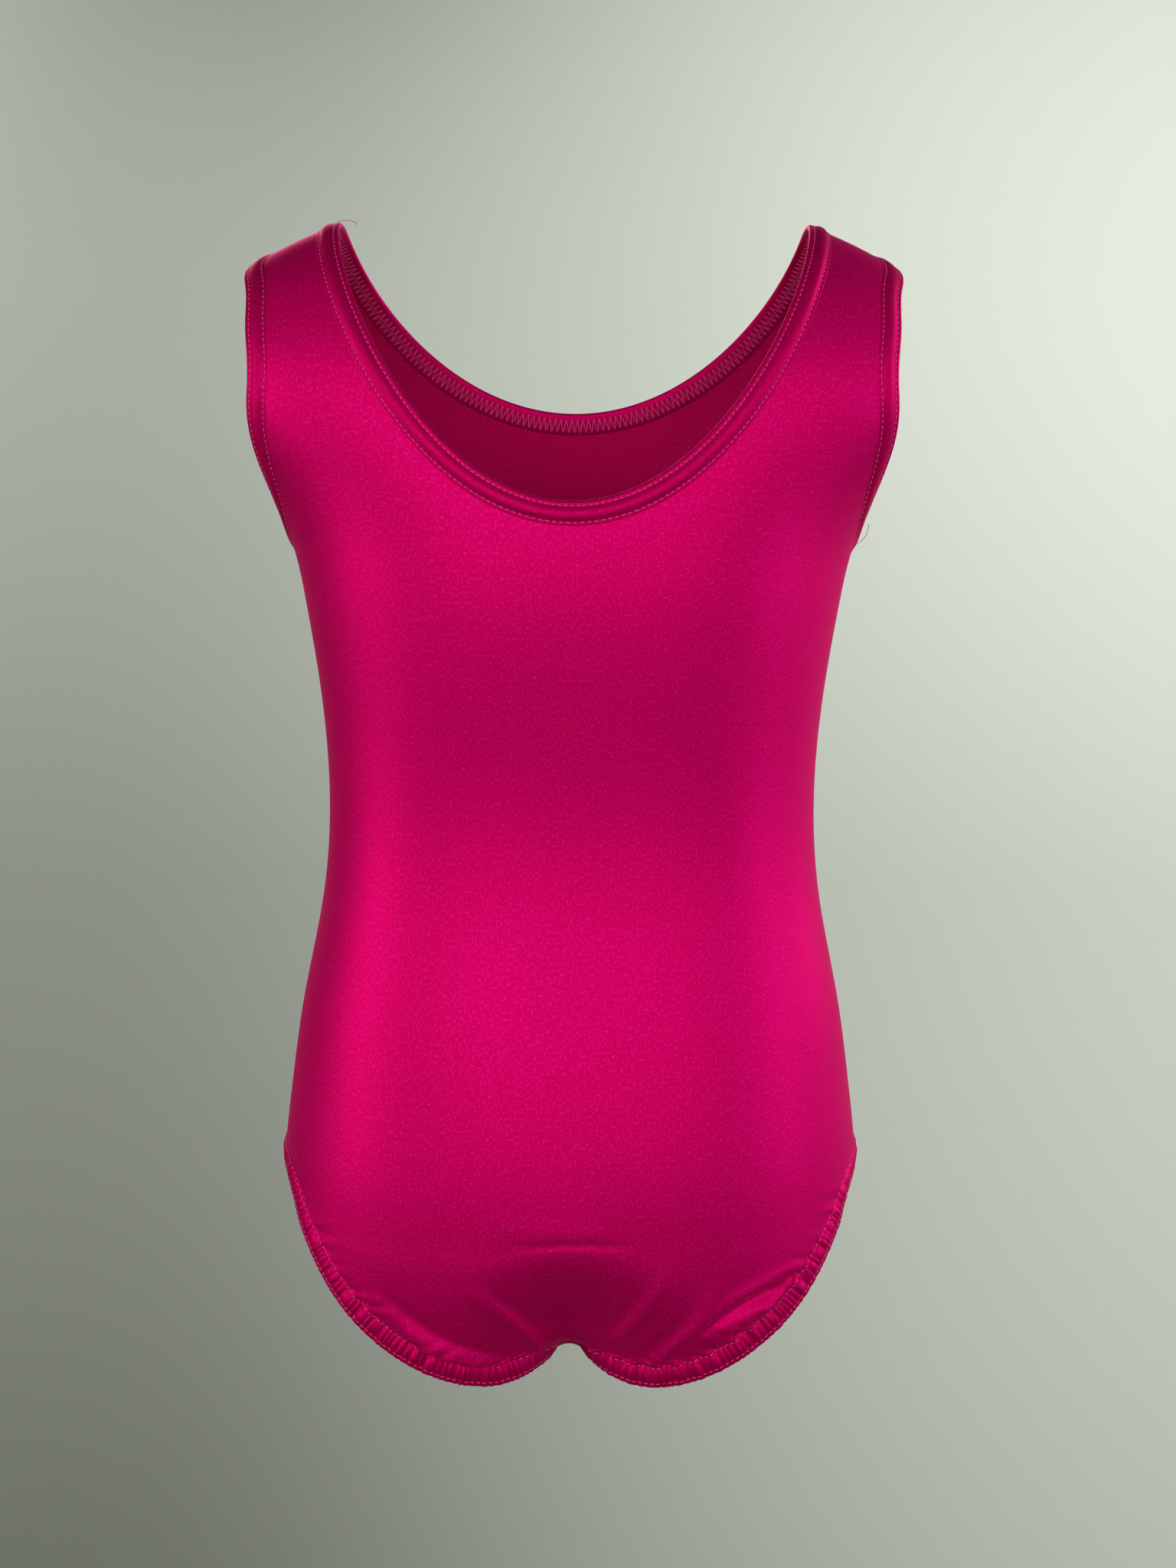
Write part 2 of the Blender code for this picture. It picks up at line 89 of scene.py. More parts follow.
def spline(knots, values, places):
    """Natural cubic spline through the knots, which rise, read at the places."""
    gaps = np.diff(knots)
    slopes = np.diff(values) / gaps
    count = len(knots)
    system = np.eye(count)
    right = np.zeros(count)
    inner = np.arange(1, count - 1)
    system[inner, inner - 1] = gaps[:-1]
    system[inner, inner] = 2 * (gaps[:-1] + gaps[1:])
    system[inner, inner + 1] = gaps[1:]
    right[inner] = 6 * np.diff(slopes)
    bends = np.linalg.solve(system, right)
    i = np.clip(np.searchsorted(knots, places) - 1, 0, count - 2)
    gap = gaps[i]
    to_next = knots[i + 1] - places
    from_last = places - knots[i]
    curved = (bends[i] * to_next**3 + bends[i + 1] * from_last**3) / (6 * gap)
    left_part = (values[i] / gap - bends[i] * gap / 6) * to_next
    right_part = (values[i + 1] / gap - bends[i + 1] * gap / 6) * from_last
    return curved + left_part + right_part


def ring_size(column, z):
    """One of the table's sizes at any level, on a spline through its rows."""
    return spline(RINGS["z"][::-1], RINGS[column][::-1], z)


def rounded(turn, squareness):
    """Sine and cosine of a turn, each over the root of the sum of their powers: a superellipse."""
    sine, cosine = np.sin(turn), np.cos(turn)
    reach = (abs(sine) ** squareness + abs(cosine) ** squareness) ** (-1 / squareness)
    return sine * reach, cosine * reach


def smooth_step(value, start, end):
    """Rises from 0 at start to 1 at end as three squares less two cubes of the share."""
    share = np.clip((value - start) / (end - start), 0, 1)
    return share * share * (3 - 2 * share)


def seat_hollow(x, y, z):
    """How far the cloth sinks in under the seat: a smooth step down from a line that sags to
    the sides, times a bell curve of the sideways distance, fading out at the crotch."""
    sink = smooth_step(-z - HOLLOW_SAG * x**2, HOLLOW_TOP, HOLLOW_FULL)
    bell = np.exp(-((x / HOLLOW_HALF_WIDTH) ** 2))
    return HOLLOW_DEPTH * sink * bell * smooth_step(y, *HOLLOW_FADES_OVER)


def worn_shape(turn, level):
    """Points of the cloth's outer face. Each level is a superellipse ring whose sizes come from
    the splined table. Below the widest seat the rings close in a rounded bowl, which a bell
    curve of the sideways distance lifts in the middle for the crotch."""
    z = np.maximum(level, BOWL_TOP)
    bowl_turn = np.maximum(BOWL_TOP - level, 0) / BOWL_DEPTH
    sideways, lengthways = rounded(turn, RING_SQUARENESS)
    down, out = rounded(bowl_turn, BOWL_SQUARENESS)
    back, front = ring_size("back", z), ring_size("front", z)
    depth = (back + front) / 2 + (back - front) / 2 * np.cos(turn)
    x = ring_size("half_width", z) * sideways
    y = depth * lengthways * out
    arch = np.where(np.cos(turn) > 0, ARCH_HALF_WIDTH_BACK, ARCH_HALF_WIDTH_FRONT)
    to_crotch = smooth_step(bowl_turn, ARCH_FULL_TURN, np.pi / 2)
    arch = arch + (ARCH_HALF_WIDTH_CROTCH - arch) * to_crotch
    rise = ARCH_RISE * smooth_step(bowl_turn, ARCH_START_TURN, ARCH_FULL_TURN)
    drop = BOWL_DEPTH - rise * np.exp(-((x / arch) ** 2))
    z = z - drop * abs(lengthways) * down
    return np.stack([x, y - seat_hollow(x, y, z), z], axis=-1)


def slopes_of_shape(turn, level):
    """How the worn shape moves with a small step of turn, and of level."""
    by_turn = (worn_shape(turn + PROBE, level) - worn_shape(turn - PROBE, level)) / (2 * PROBE)
    by_level = (worn_shape(turn, level + PROBE) - worn_shape(turn, level - PROBE)) / (2 * PROBE)
    return by_turn, by_level


def unit(vectors):
    """The vectors over their own lengths."""
    return vectors / np.linalg.norm(vectors, axis=-1, keepdims=True)


def outward(turn, level):
    """Unit normal of the worn shape, from its slopes' cross product."""
    by_turn, by_level = slopes_of_shape(turn, level)
    return unit(np.cross(by_level, by_turn))


# Cut edges of the panels: turn and level of each point, and how far the free edge stands off
# the wearer (flare). turn runs from 0 at the middle of the back to a half turn at the front.
EDGE = [("turn", float), ("level", float), ("flare", float)]
ARMHOLE = np.array(
    [
        (1.571, -16.0, 0.0),  # shoulder seam
        (1.260, -20.5, 0.0),
        (1.014, -29.5, 0.0),
        (0.899, -43.5, 0.0),
        (0.865, -64.5, 0.0),
        (1.026, -88.5, 0.0),
        (1.223, -106.0, 0.0),
        (1.400, -118.0, 0.0),
        (1.571, -123.0, 0.0),  # side seam
        (1.830, -119.5, 0.0),
        (2.040, -108.0, 0.0),
        (2.190, -91.0, 0.0),
        (2.270, -69.0, 0.0),
        (2.240, -47.0, 0.0),
        (2.100, -30.0, 0.0),
        (1.860, -19.5, 0.0),
    ],
    dtype=EDGE,
)
LEG = np.array(
    [
        (0.150, CROTCH_LEVEL, 0.0),  # crotch seam, back
        (0.125, -522.0, 0.0),
        (0.100, -501.0, 0.3),
        (0.086, -483.0, 0.8),
        (0.100, -468.5, 2.5),
        (0.150, -463.0, 4.0),
        (0.235, -463.0, 4.5),
        (0.400, -462.0, 4.5),
        (0.550, -456.0, 4.5),
        (0.700, -447.0, 3.7),
        (0.868, -431.0, 2.4),
        (1.010, -410.0, 1.4),
        (1.145, -391.5, 0.5),
        (1.350, -383.0, 0.0),
        (1.571, -381.0, 0.0),  # side seam
        (1.830, -380.0, 0.0),
        (2.085, -387.0, 0.0),
        (2.274, -397.0, 0.0),
        (2.450, -411.0, 0.0),
        (2.630, -432.0, 0.0),
        (2.800, -457.5, 0.0),
        (2.920, -486.0, 0.0),
        (2.975, -513.0, 0.0),
        (np.pi - 0.150, CROTCH_LEVEL, 0.0),  # crotch seam, front
    ],
    dtype=EDGE,
)
NECK_HALF_WIDTH = 93.0
NECK_BACK_DROP = 110.0
NECK_FRONT_DROP = 72.0
NECK_SCOOP_POWER = 1.43
EDGE_SAMPLES = 600
STATIONS = 1200
CASING_WIDTH = 9.0
WALK_LENGTH = 12.0
WALK_STEPS = 60
WALK_SLACK = 0.5  # of a step, which a point may lie outside the edge
SMOOTH_STATIONS = 6


def distance_run(points):
    """How far along a line of points each of them lies."""
    return np.concatenate([[0], np.cumsum(np.linalg.norm(np.diff(points, axis=0), axis=1))])


def curve_through(rows):
    """A dense spline through rows of turn, level and flare, by the run along the worn shape."""
    knots = distance_run(worn_shape(rows[:, 0], rows[:, 1]))
    places = np.linspace(0, knots[-1], EDGE_SAMPLES)
    return np.stack([spline(knots, column, places) for column in rows.T], axis=1)


def table_rows(table):
    """A table with named columns as a plain array."""
    return np.stack([table[name] for name in table.dtype.names], axis=1)


def armhole_edge():
    """The closed armhole edge, from the shoulder seam down the back and up the front."""
    rows = table_rows(ARMHOLE)
    line = curve_through(rows[np.arange(-3, len(rows) + 4) % len(rows)])
    start = worn_shape(rows[0, 0], rows[0, 1])
    far = np.linalg.norm(worn_shape(line[:, 0], line[:, 1]) - start, axis=1)
    half = EDGE_SAMPLES // 2
    return line[np.argmin(far[:half]) : half + np.argmin(far[half:]) + 1]


def leg_edge():
    """The closed leg edge, from the crotch seam's back up over the hip and down to its front."""
    rows = table_rows(LEG)
    before, after = rows[[2, 1]], rows[[-2, -3]]
    before[:, 1] = 2 * CROTCH_LEVEL - before[:, 1]
    after[:, 1] = 2 * CROTCH_LEVEL - after[:, 1]
    line = curve_through(np.concatenate([before, rows, after]))
    return line[line[:, 1] >= CROTCH_LEVEL]


def neck_edge():
    """The closed neck edge, from the middle of the back over the left strap and round. Each
    scoop hangs from the shoulder seams by its drop times a power of the cosine."""
    sweep = np.linspace(0, np.pi / 2, EDGE_SAMPLES // 4)
    halves = []
    for drop in (NECK_BACK_DROP, NECK_FRONT_DROP):
        x = NECK_HALF_WIDTH * np.sin(sweep)
        z = -drop * np.abs(np.cos(sweep)) ** NECK_SCOOP_POWER
        share = np.clip(x / ring_size("half_width", z), 0, 1)
        along = (1 - share**RING_SQUARENESS) ** (1 / RING_SQUARENESS)
        halves.append(np.stack([np.arctan2(share, along), z, 0 * z], axis=1))
    back, front = halves
    front[:, 0] = np.pi - front[:, 0]
    left = np.concatenate([back, front[-2::-1]])
    right = left[-2::-1] * [-1, 1, 1]
    right[:, 0] += 2 * np.pi
    return np.concatenate([left, right])


def walked_edge(line, away_from):
    """An edge as even stations, each walked in small straight steps over the worn shape, square
    to the edge, into the panel. Gives turn, level and flare by step and station, and the
    edge's length."""
    run = distance_run(worn_shape(line[:, 0], line[:, 1]))
    wanted = np.linspace(0, run[-1], STATIONS + 1)
    turn, level, flare = (np.interp(wanted, run, column) for column in line.T)
    ring = worn_shape(turn, level)[:-1]
    along = unit(np.roll(ring, -1, axis=0) - np.roll(ring, 1, axis=0))
    along = np.concatenate([along, along[:1]])
    heading = away_from * np.cross(outward(turn, level), along)
    steps = [np.stack([turn, level, flare], axis=1)]
    for _ in range(WALK_STEPS):
        by_turn, by_level = slopes_of_shape(turn, level)
        normal = unit(np.cross(by_level, by_turn))
        flat = heading - (heading * normal).sum(1, keepdims=True) * normal
        move = unit(flat) * WALK_LENGTH / WALK_STEPS
        tt, ll = (by_turn**2).sum(1), (by_level**2).sum(1)
        tl = (by_turn * by_level).sum(1)
        mt, ml = (move * by_turn).sum(1), (move * by_level).sum(1)
        turn = turn + (mt * ll - ml * tl) / (tt * ll - tl**2)
        level = level + (ml * tt - mt * tl) / (tt * ll - tl**2)
        steps.append(np.stack([turn, level, flare], axis=1))
    moved = np.array(steps) - steps[0]
    padded = np.pad(moved, ((0, 0), (SMOOTH_STATIONS, SMOOTH_STATIONS), (0, 0)), mode="edge")
    total = np.cumsum(np.pad(padded, ((0, 0), (1, 0), (0, 0))), axis=1)
    window = 2 * SMOOTH_STATIONS + 1
    return steps[0] + (total[:, window:] - total[:, :-window]) / window, run[-1]


NECK_WALK, NECK_LENGTH = walked_edge(neck_edge(), 1)
ARMHOLE_WALK, ARMHOLE_LENGTH = walked_edge(armhole_edge(), 1)
LEG_WALK, LEG_LENGTH = walked_edge(leg_edge(), -1)


def place_by_edge(walk, share, across):
    """Turn, level and flare at a share of the way round an edge and a distance in from it."""
    share, across = np.broadcast_arrays(share, across)
    station = share % 1 * STATIONS
    one = np.minimum(station.astype(int), STATIONS - 1)
    step = np.clip(across / WALK_LENGTH * WALK_STEPS, -WALK_SLACK, WALK_STEPS)
    low = np.clip(step.astype(int), 0, WALK_STEPS - 1)
    by_station = (station - one)[..., None]
    by_step = (step - low)[..., None]
    near = walk[low, one] * (1 - by_station) + walk[low, one + 1] * by_station
    far = walk[low + 1, one] * (1 - by_station) + walk[low + 1, one + 1] * by_station
    return near * (1 - by_step) + far * by_step


PITCH_FACTORS = (0.8, 1.0, 1.35)


def uneven_wave(share, length, pitch, seed):
    """Three sines round a closed edge, their pitches near the given one and their phases drawn
    from the seed, over their sum's root mean square."""
    draw = np.random.default_rng(seed)
    wave = 0
    for factor in PITCH_FACTORS:
        count = max(round(length / (pitch * factor)), 1)
        wave = wave + np.sin(2 * np.pi * (count * share + draw.random()))
    return wave / np.sqrt(len(PITCH_FACTORS) / 2)


# How strongly the leg elastic gathers the cloth, by the share of the way round the leg edge.
GATHER_SHARES = np.array([0.0, 0.07, 0.13, 0.2, 0.3, 0.4, 0.5, 0.6, 0.8, 0.93, 1.0])
GATHER_STRENGTH = np.array([0.3, 0.4, 0.8, 1.0, 0.95, 0.5, 0.2, 0.25, 0.45, 0.35, 0.3])
SCALLOP_PITCH = 8.5
SCALLOP_HEIGHT = 0.55
SCALLOP_REACH = 7.0
SCALLOP_POWER = 1.5
SCALLOP_FADE_POWER = 1.5
SCALLOP_MIDDLE = 0.4
SCALLOP_SWING = {"left": 0.8, "right": 1.15}
SIDES = {"left": (1, 11), "right": (-1, 23)}  # sign of x, and the seed of its uneven waves


def scallops(share, side):
    """The cloth's bulge over the elastic where the panel meets a leg casing: an uneven wave's
    crests, by the strength of the gathers."""
    _, seed = SIDES[side]
    wave = uneven_wave(share, LEG_LENGTH, SCALLOP_PITCH, seed)
    strength = np.interp(share, GATHER_SHARES, GATHER_STRENGTH)
    bulge = SCALLOP_MIDDLE + wave * SCALLOP_SWING[side]
    return SCALLOP_HEIGHT * strength**SCALLOP_POWER * bulge


# Folds and creases as seen square on, x to the wearer's left. bow is the sideways swing of the
# middle, and a height below 0 is a trough.
FOLD = [(name, float) for name in "foot_x foot_z tip_x tip_z bow height half_width".split()]
BACK_FOLDS = np.array(
    [
        (74.0, -426.0, 20.0, -455.0, 5.0, 3.2, 4.6),  # long roll over the left casing
        (70.0, -421.5, 24.0, -446.0, 4.0, -1.4, 2.6),  # crease over the roll
        (36.0, -416.0, 9.0, -450.0, -2.5, 2.0, 3.4),
        (30.0, -416.0, 12.0, -440.0, -2.0, -0.8, 3.2),
        (88.0, -414.0, 66.0, -431.0, 2.0, 0.5, 5.0),
        (-36.0, -410.0, -17.0, -441.0, -1.5, 1.6, 3.4),
        (-27.0, -414.0, -13.0, -441.0, -1.5, -0.6, 3.0),
        (-57.0, -416.0, -28.0, -454.0, -2.5, 1.8, 3.6),
        (-47.0, -424.0, -27.0, -447.0, -2.0, -0.9, 3.0),
        (-96.0, -414.5, -40.0, -445.0, 5.0, -2.0, 1.9),  # long crease over the right casing
        (-90.0, -411.0, -42.0, -440.0, 5.0, 1.3, 3.0),
        (-92.0, -420.5, -54.0, -441.0, 2.5, 2.4, 3.6),  # plump fold under it
        (-90.0, -431.5, -60.0, -437.0, -2.5, -1.6, 1.8),
        (20.0, -396.0, -26.0, -395.5, -1.2, -0.5, 1.6),  # shallow line over the hollow
        (30.0, -388.0, -20.0, -389.0, 1.5, 0.3, 5.0),
    ],
    dtype=FOLD,
)
FOLD_STEPS = 20
FOLD_TAPER_FROM = 0.05  # the foot, at a leg casing, keeps a little of its height
FOLD_TAPER_POWER = 0.7


def fold_rise(points, folds):
    """Outward rise of the cloth where the folds pass: each a bell curve of the distance from a
    bowed line in the square-on view, tapered to its ends by a power of a sine."""
    rise = np.zeros(points.shape[:-1])
    share = np.linspace(0, 1, FOLD_STEPS + 1)
    seen = points[..., None, (0, 2)]
    for fold in folds:
        foot = np.array([fold["foot_x"], fold["foot_z"]])
        tip = np.array([fold["tip_x"], fold["tip_z"]])
        side = unit(np.array([foot[1] - tip[1], tip[0] - foot[0]]))
        bow = fold["bow"] * np.sin(np.pi * share)
        ridge = foot + (tip - foot) * share[:, None] + side * bow[:, None]
        start, run = ridge[:-1], np.diff(ridge, axis=0)
        along = np.clip(((seen - start) * run).sum(-1) / (run**2).sum(-1), 0, 1)
        far = np.linalg.norm(seen - start - run * along[..., None], axis=-1)
        nearest = np.argmin(far, axis=-1)[..., None]
        reached = (nearest + np.take_along_axis(along, nearest, -1))[..., 0] / FOLD_STEPS
        reached = FOLD_TAPER_FROM + (1 - FOLD_TAPER_FROM) * reached
        taper = np.sin(np.pi * reached) ** FOLD_TAPER_POWER
        bell = np.exp(-((far.min(axis=-1) / fold["half_width"]) ** 2))
        rise += fold["height"] * taper * bell
    return rise


PANEL_THICKNESS = 1.2
PANEL_EDGE = 8.6  # the panel ends this far in from the free edges, under the casings
PANEL_ROWS = (50, 62, 112, 58)  # to the underarm, the hip, the crotch strip and its seam
NECK_ROWS = {False: 43, True: 32}  # of the first rows, those along the neck at the back and front
HIDDEN_ROW = 1.0  # the row under the neck in the middle, still under the casing
PANEL_COLUMNS = 78
MIDDLE_LEVELS = {"underarm": -142.0, "hip": -335.0, "strip": -457.0}
STRAIGHT_SAMPLES = 60
STRIP_TURN_BACK = 0.14
STRIP_TURN_FRONT = 0.26
SHARE_JUMP = 0.1
FAR_FROM_LEG = 1e3
FOLD_AT_CASING = 0.35  # share of a fold's height that is left where the casing holds it down
FOLD_FREED_OVER = 4.0
SEAM_GROOVE = 0.35
SEAM_GROOVE_REACH = 1.1
KNIT_RADIUS = 100.0  # turns the turns into lengths of knit


def evenly(line, count):
    """A line of turns, levels and shares again, as that many points evenly far apart."""
    run = distance_run(worn_shape(line[:, 0], line[:, 1]))
    wanted = np.linspace(0, run[-1], count)
    return np.stack([np.interp(wanted, run, column) for column in line.T], axis=1)


def border(lines, counts):
    """Lines that follow each other as one, each taken as its own number of even steps."""
    parts = [evenly(line, count + 1)[:-1] for line, count in zip(lines, counts)]
    return np.concatenate([*parts, lines[-1][-1:]])


def panel_side_of(walk, front):
    """The part of a panel's border by this edge on the left half of the front or the back, its
    turns from the panel's own middle."""
    share = np.linspace(0, 1, 2 * STATIONS + 1)
    line = place_by_edge(walk, np.minimum(share, 1 - 1e-9), PANEL_EDGE)
    line[:, 2] = share
    if front:
        line[:, 0] = np.pi - line[:, 0]
    line = line[(line[:, 0] < np.pi / 2) & (line[:, 0] > -1e-6) & (line[:, 1] > CROTCH_LEVEL)]
    # An edge that crosses its own start comes in two runs, which follow each other the other way.
    breaks = np.flatnonzero(np.abs(np.diff(line[:, 2])) > SHARE_JUMP)
    return np.roll(line, -(breaks[0] + 1), axis=0) if len(breaks) else line


def panel_grid(front):
    """Turns, levels, distance from the leg edge and its share for the left half of a panel. Each
    row runs straight, in turns and levels, from the neck or the middle to the armhole, the side
    or the leg edge."""
    quarter = np.pi / 2
    walks = (NECK_WALK, ARMHOLE_WALK, LEG_WALK)
    neck, armhole, leg = (panel_side_of(walk, front) for walk in walks)
    neck = neck if neck[0, 1] > neck[-1, 1] else neck[::-1]
    armhole = armhole if armhole[0, 1] > armhole[-1, 1] else armhole[::-1]
    leg = leg if leg[0, 1] > leg[-1, 1] else leg[::-1]
    neck[0, 0], neck[-1, 0] = quarter, 0
    armhole[[0, -1], 0] = quarter
    leg[0, 0], leg[-1, 1] = quarter, CROTCH_LEVEL
    strip = np.flatnonzero(leg[:, 0] < (STRIP_TURN_FRONT if front else STRIP_TURN_BACK))[0]
    top = neck[-1, 1]
    levels = (top, top - HIDDEN_ROW, *MIDDLE_LEVELS.values(), CROTCH_LEVEL)
    middle = [(0, level, 0) for level in levels]
    pairs = zip(middle[:-1], middle[1:])
    inner = [neck, *(np.linspace(*pair, STRAIGHT_SAMPLES) for pair in pairs)]
    side_seam = np.linspace(armhole[-1], leg[0], STRAIGHT_SAMPLES)
    outer = [armhole, side_seam, leg[: strip + 1], leg[strip:]]
    by_neck, rows = NECK_ROWS[front], PANEL_ROWS[1:]
    inner = border(inner, (by_neck, 1, PANEL_ROWS[0] - by_neck - 1, *rows))
    outer = border(outer, PANEL_ROWS)
    share = np.linspace(0, 1, PANEL_COLUMNS + 1)[None, :, None]
    grid = inner[:, None] * (1 - share) + outer[:, None] * share
    by_leg = np.arange(len(inner)) >= sum(PANEL_ROWS[:2])
    turn = np.pi - grid[..., 0] if front else grid[..., 0]
    points = worn_shape(turn, grid[..., 1])
    far = np.linalg.norm(points - points[:, -1:], axis=-1)
    far = np.where(by_leg[:, None], far, FAR_FROM_LEG)
    return turn, grid[..., 1], far, np.repeat(outer[:, 2:], PANEL_COLUMNS + 1, axis=1)


def panel_half(side, front, folds):
    """Points of one half's outer face, and its turns and levels in metres as knit lengths."""
    turn, level, far, share = panel_grid(front)
    sign, _ = SIDES[side]
    points = worn_shape(turn, level) * [sign, 1, 1]
    normal = outward(turn, level) * [sign, 1, 1]
    free = FOLD_AT_CASING + (1 - FOLD_AT_CASING) * smooth_step(far, 0, FOLD_FREED_OVER)
    rise = fold_rise(points, folds) * free
    rise = rise + scallops(share, side) * np.exp(-((far / SCALLOP_REACH) ** SCALLOP_FADE_POWER))
    flare = place_by_edge(LEG_WALK, share, 0 * share)[..., 2]
    rise = rise + flare * np.maximum(1 - (PANEL_EDGE + far) / CASING_WIDTH, 0)
    rise = rise - SEAM_GROOVE * np.exp(-((points[..., 1] / SEAM_GROOVE_REACH) ** 2))
    own_turn = np.pi - turn if front else turn
    knit = np.stack([sign * own_turn * KNIT_RADIUS * MM, level * MM], axis=-1)
    return points + normal * rise[..., None], knit


def grid_faces(rows, columns):
    """Quads between neighbouring rows and columns of a grid."""
    corner = (np.arange(rows - 1)[:, None] * columns + np.arange(columns - 1)).ravel()
    return np.stack([corner, corner + 1, corner + columns + 1, corner + columns], axis=1)


def new_mesh_object(name, points, faces, knit=None):
    """An object from arrays of points in millimetres and faces of any one size. knit gives each
    point's place on the cloth in metres, for the patterns."""
    mesh = bpy.data.meshes.new(name)
    mesh.from_pydata((points * MM).tolist(), [], faces.tolist())
    if knit is not None:
        layer = mesh.uv_layers.new(name="knit")
        layer.uv.foreach_set("vector", knit[faces.ravel()].astype(np.float32).ravel())
    mesh.validate()
    mesh.shade_smooth()
    piece = bpy.data.objects.new(name, mesh)
    bpy.context.scene.collection.objects.link(piece)
    return piece


def merged(points, faces, knit):
    """The mesh again with points in the same place made one."""
    _, first, number = np.unique(
        np.round(points, 4), axis=0, return_index=True, return_inverse=True
    )
    return points[first], number.reshape(-1)[faces], knit[first]


def linear(hex_colour):
    """An sRGB hex colour as linear red, green, blue and alpha."""
    parts = np.array([int(hex_colour[i : i + 2], 16) for i in (1, 3, 5)]) / 255
    parts = np.where(parts <= 0.04045, parts / 12.92, ((parts + 0.055) / 1.055) ** 2.4)
    return (*(float(part) for part in parts), 1.0)


def add_node(tree, kind, values=(), links=(), **settings):
    """Adds a node, with its settings, its sockets' values and the outputs linked to them."""
    node = tree.nodes.new(kind)
    for name, value in settings.items():
        setattr(node, name, value)
    for socket, value in dict(values).items():
        node.inputs[socket].default_value = value
    for socket, output in dict(links).items():
        tree.links.new(output, node.inputs[socket])
    return node


def new_material(name):
    """An empty material, its tree and its shader."""
    material = bpy.data.materials.new(name)
    material.use_nodes = True
    return material, material.node_tree, material.node_tree.nodes["Principled BSDF"]


# Satin knit: warp-knitted nylon filament with elastane, heat set. On its right side the filaments
# lie flat, so it has a broad soft gloss tinted by the dye, given here as a metallic share, and the
# stretched loops show as fine specks. Its wrong side is looped and nearly matt. The real loops are
# 0.35 mm apart. They are drawn 0.8 mm apart, or the render would lose them.
SPECK = 0.8 * MM
PATCHES_PER_METRE = 22.0  # the broad, faint unevenness of the dye


def satin_knit(name, body, speck, shade, gloss, gloss_roughness, sheen):
    """Specks over a colour that wanders between body and shade, with a tinted gloss and sheen."""
    material, tree, shader = new_material(name)
    place = add_node(tree, "ShaderNodeUVMap", uv_map="knit")
    stretched = add_node(
        tree,
        "ShaderNodeMapping",
        {"Scale": (1 / SPECK, 0.6 / SPECK, 1)},
        {"Vector": place.outputs["UV"]},
    )
    specks = add_node(
        tree,
        "ShaderNodeTexNoise",
        {"Scale": 1.0, "Detail": 2.0, "Roughness": 0.7},
        {"Vector": stretched.outputs["Vector"]},
    )
    bright_specks = add_node(
        tree,
        "ShaderNodeMapRange",
        {"From Min": 0.5, "From Max": 0.78, "To Min": 0.0, "To Max": 0.85},
        {"Value": specks.outputs["Fac"]},
    )
    patches = add_node(
        tree,
        "ShaderNodeTexNoise",
        {"Scale": PATCHES_PER_METRE, "Detail": 3.0, "Roughness": 0.55},
        {"Vector": place.outputs["UV"]},
    )
    shaded = add_node(
        tree,
        "ShaderNodeMix",
        {},
        {"Factor": patches.outputs["Fac"]},
        data_type="RGBA",
    )
    shaded.inputs[6].default_value = linear(body)
    shaded.inputs[7].default_value = linear(shade)
    speckled = add_node(
        tree,
        "ShaderNodeMix",
        {},
        {"Factor": bright_specks.outputs["Result"]},
        data_type="RGBA",
    )
    speckled.inputs[7].default_value = linear(speck)
    tree.links.new(shaded.outputs[2], speckled.inputs[6])
    loops = add_node(
        tree,
        "ShaderNodeBump",
        {"Strength": 0.35, "Distance": 0.12 * MM},
        {"Height": specks.outputs["Fac"]},
    )
    tree.links.new(speckled.outputs[2], shader.inputs["Base Color"])
    tree.links.new(loops.outputs["Normal"], shader.inputs["Normal"])
    shader.inputs["Metallic"].default_value = gloss
    shader.inputs["Roughness"].default_value = gloss_roughness
    shader.inputs["IOR"].default_value = 1.53
    shader.inputs["Specular IOR Level"].default_value = 0.05
    shader.inputs["Specular Tint"].default_value = linear("#FF5FA8")
    shader.inputs["Sheen Weight"].default_value = sheen
    shader.inputs["Sheen Roughness"].default_value = 0.35
    shader.inputs["Sheen Tint"].default_value = linear("#E64BB4")
    return material


satin_right_side = satin_knit(
    "satin knit, right side", "#CE005E", "#E61E82", "#C6005A", 0.62, 0.52, 0.15
)
satin_wrong_side = satin_knit(
    "satin knit, wrong side", "#B2044C", "#C61460", "#A80448", 0.1, 0.8, 0.15
)


def add_panel(name, front, folds):
    """Both halves, welded at the middle, and a wall of cloth inside the outer face."""
    halves = [panel_half(side, front, folds) for side in SIDES]
    rows, columns = halves[0][0].shape[:2]
    faces = grid_faces(rows, columns)
    points = np.concatenate([half[0].reshape(-1, 3) for half in halves])
    knit = np.concatenate([half[1].reshape(-1, 2) for half in halves])
    other = faces[:, ::-1] + rows * columns
    faces = np.concatenate([faces, other])
    if front:
        faces = faces[:, ::-1]
    piece = new_mesh_object(name, *merged(points, faces, knit))
    piece.data.materials.append(satin_right_side)
    piece.data.materials.append(satin_wrong_side)
    wall = piece.modifiers.new("cloth", "SOLIDIFY")
    wall.thickness = PANEL_THICKNESS * MM
    wall.offset = -1
    wall.material_offset = 1
    wall.use_even_offset = False
    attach(piece, "root")
    return piece


back_panel = add_panel("back_cloth", False, BACK_FOLDS)
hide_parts("back_panel")

# Front panel
# The same satin knit in one piece, with a shallower scooped neck and a higher cut leg. The elastic
# of the leg casings draws it into short soft folds, fewer than on the seat.

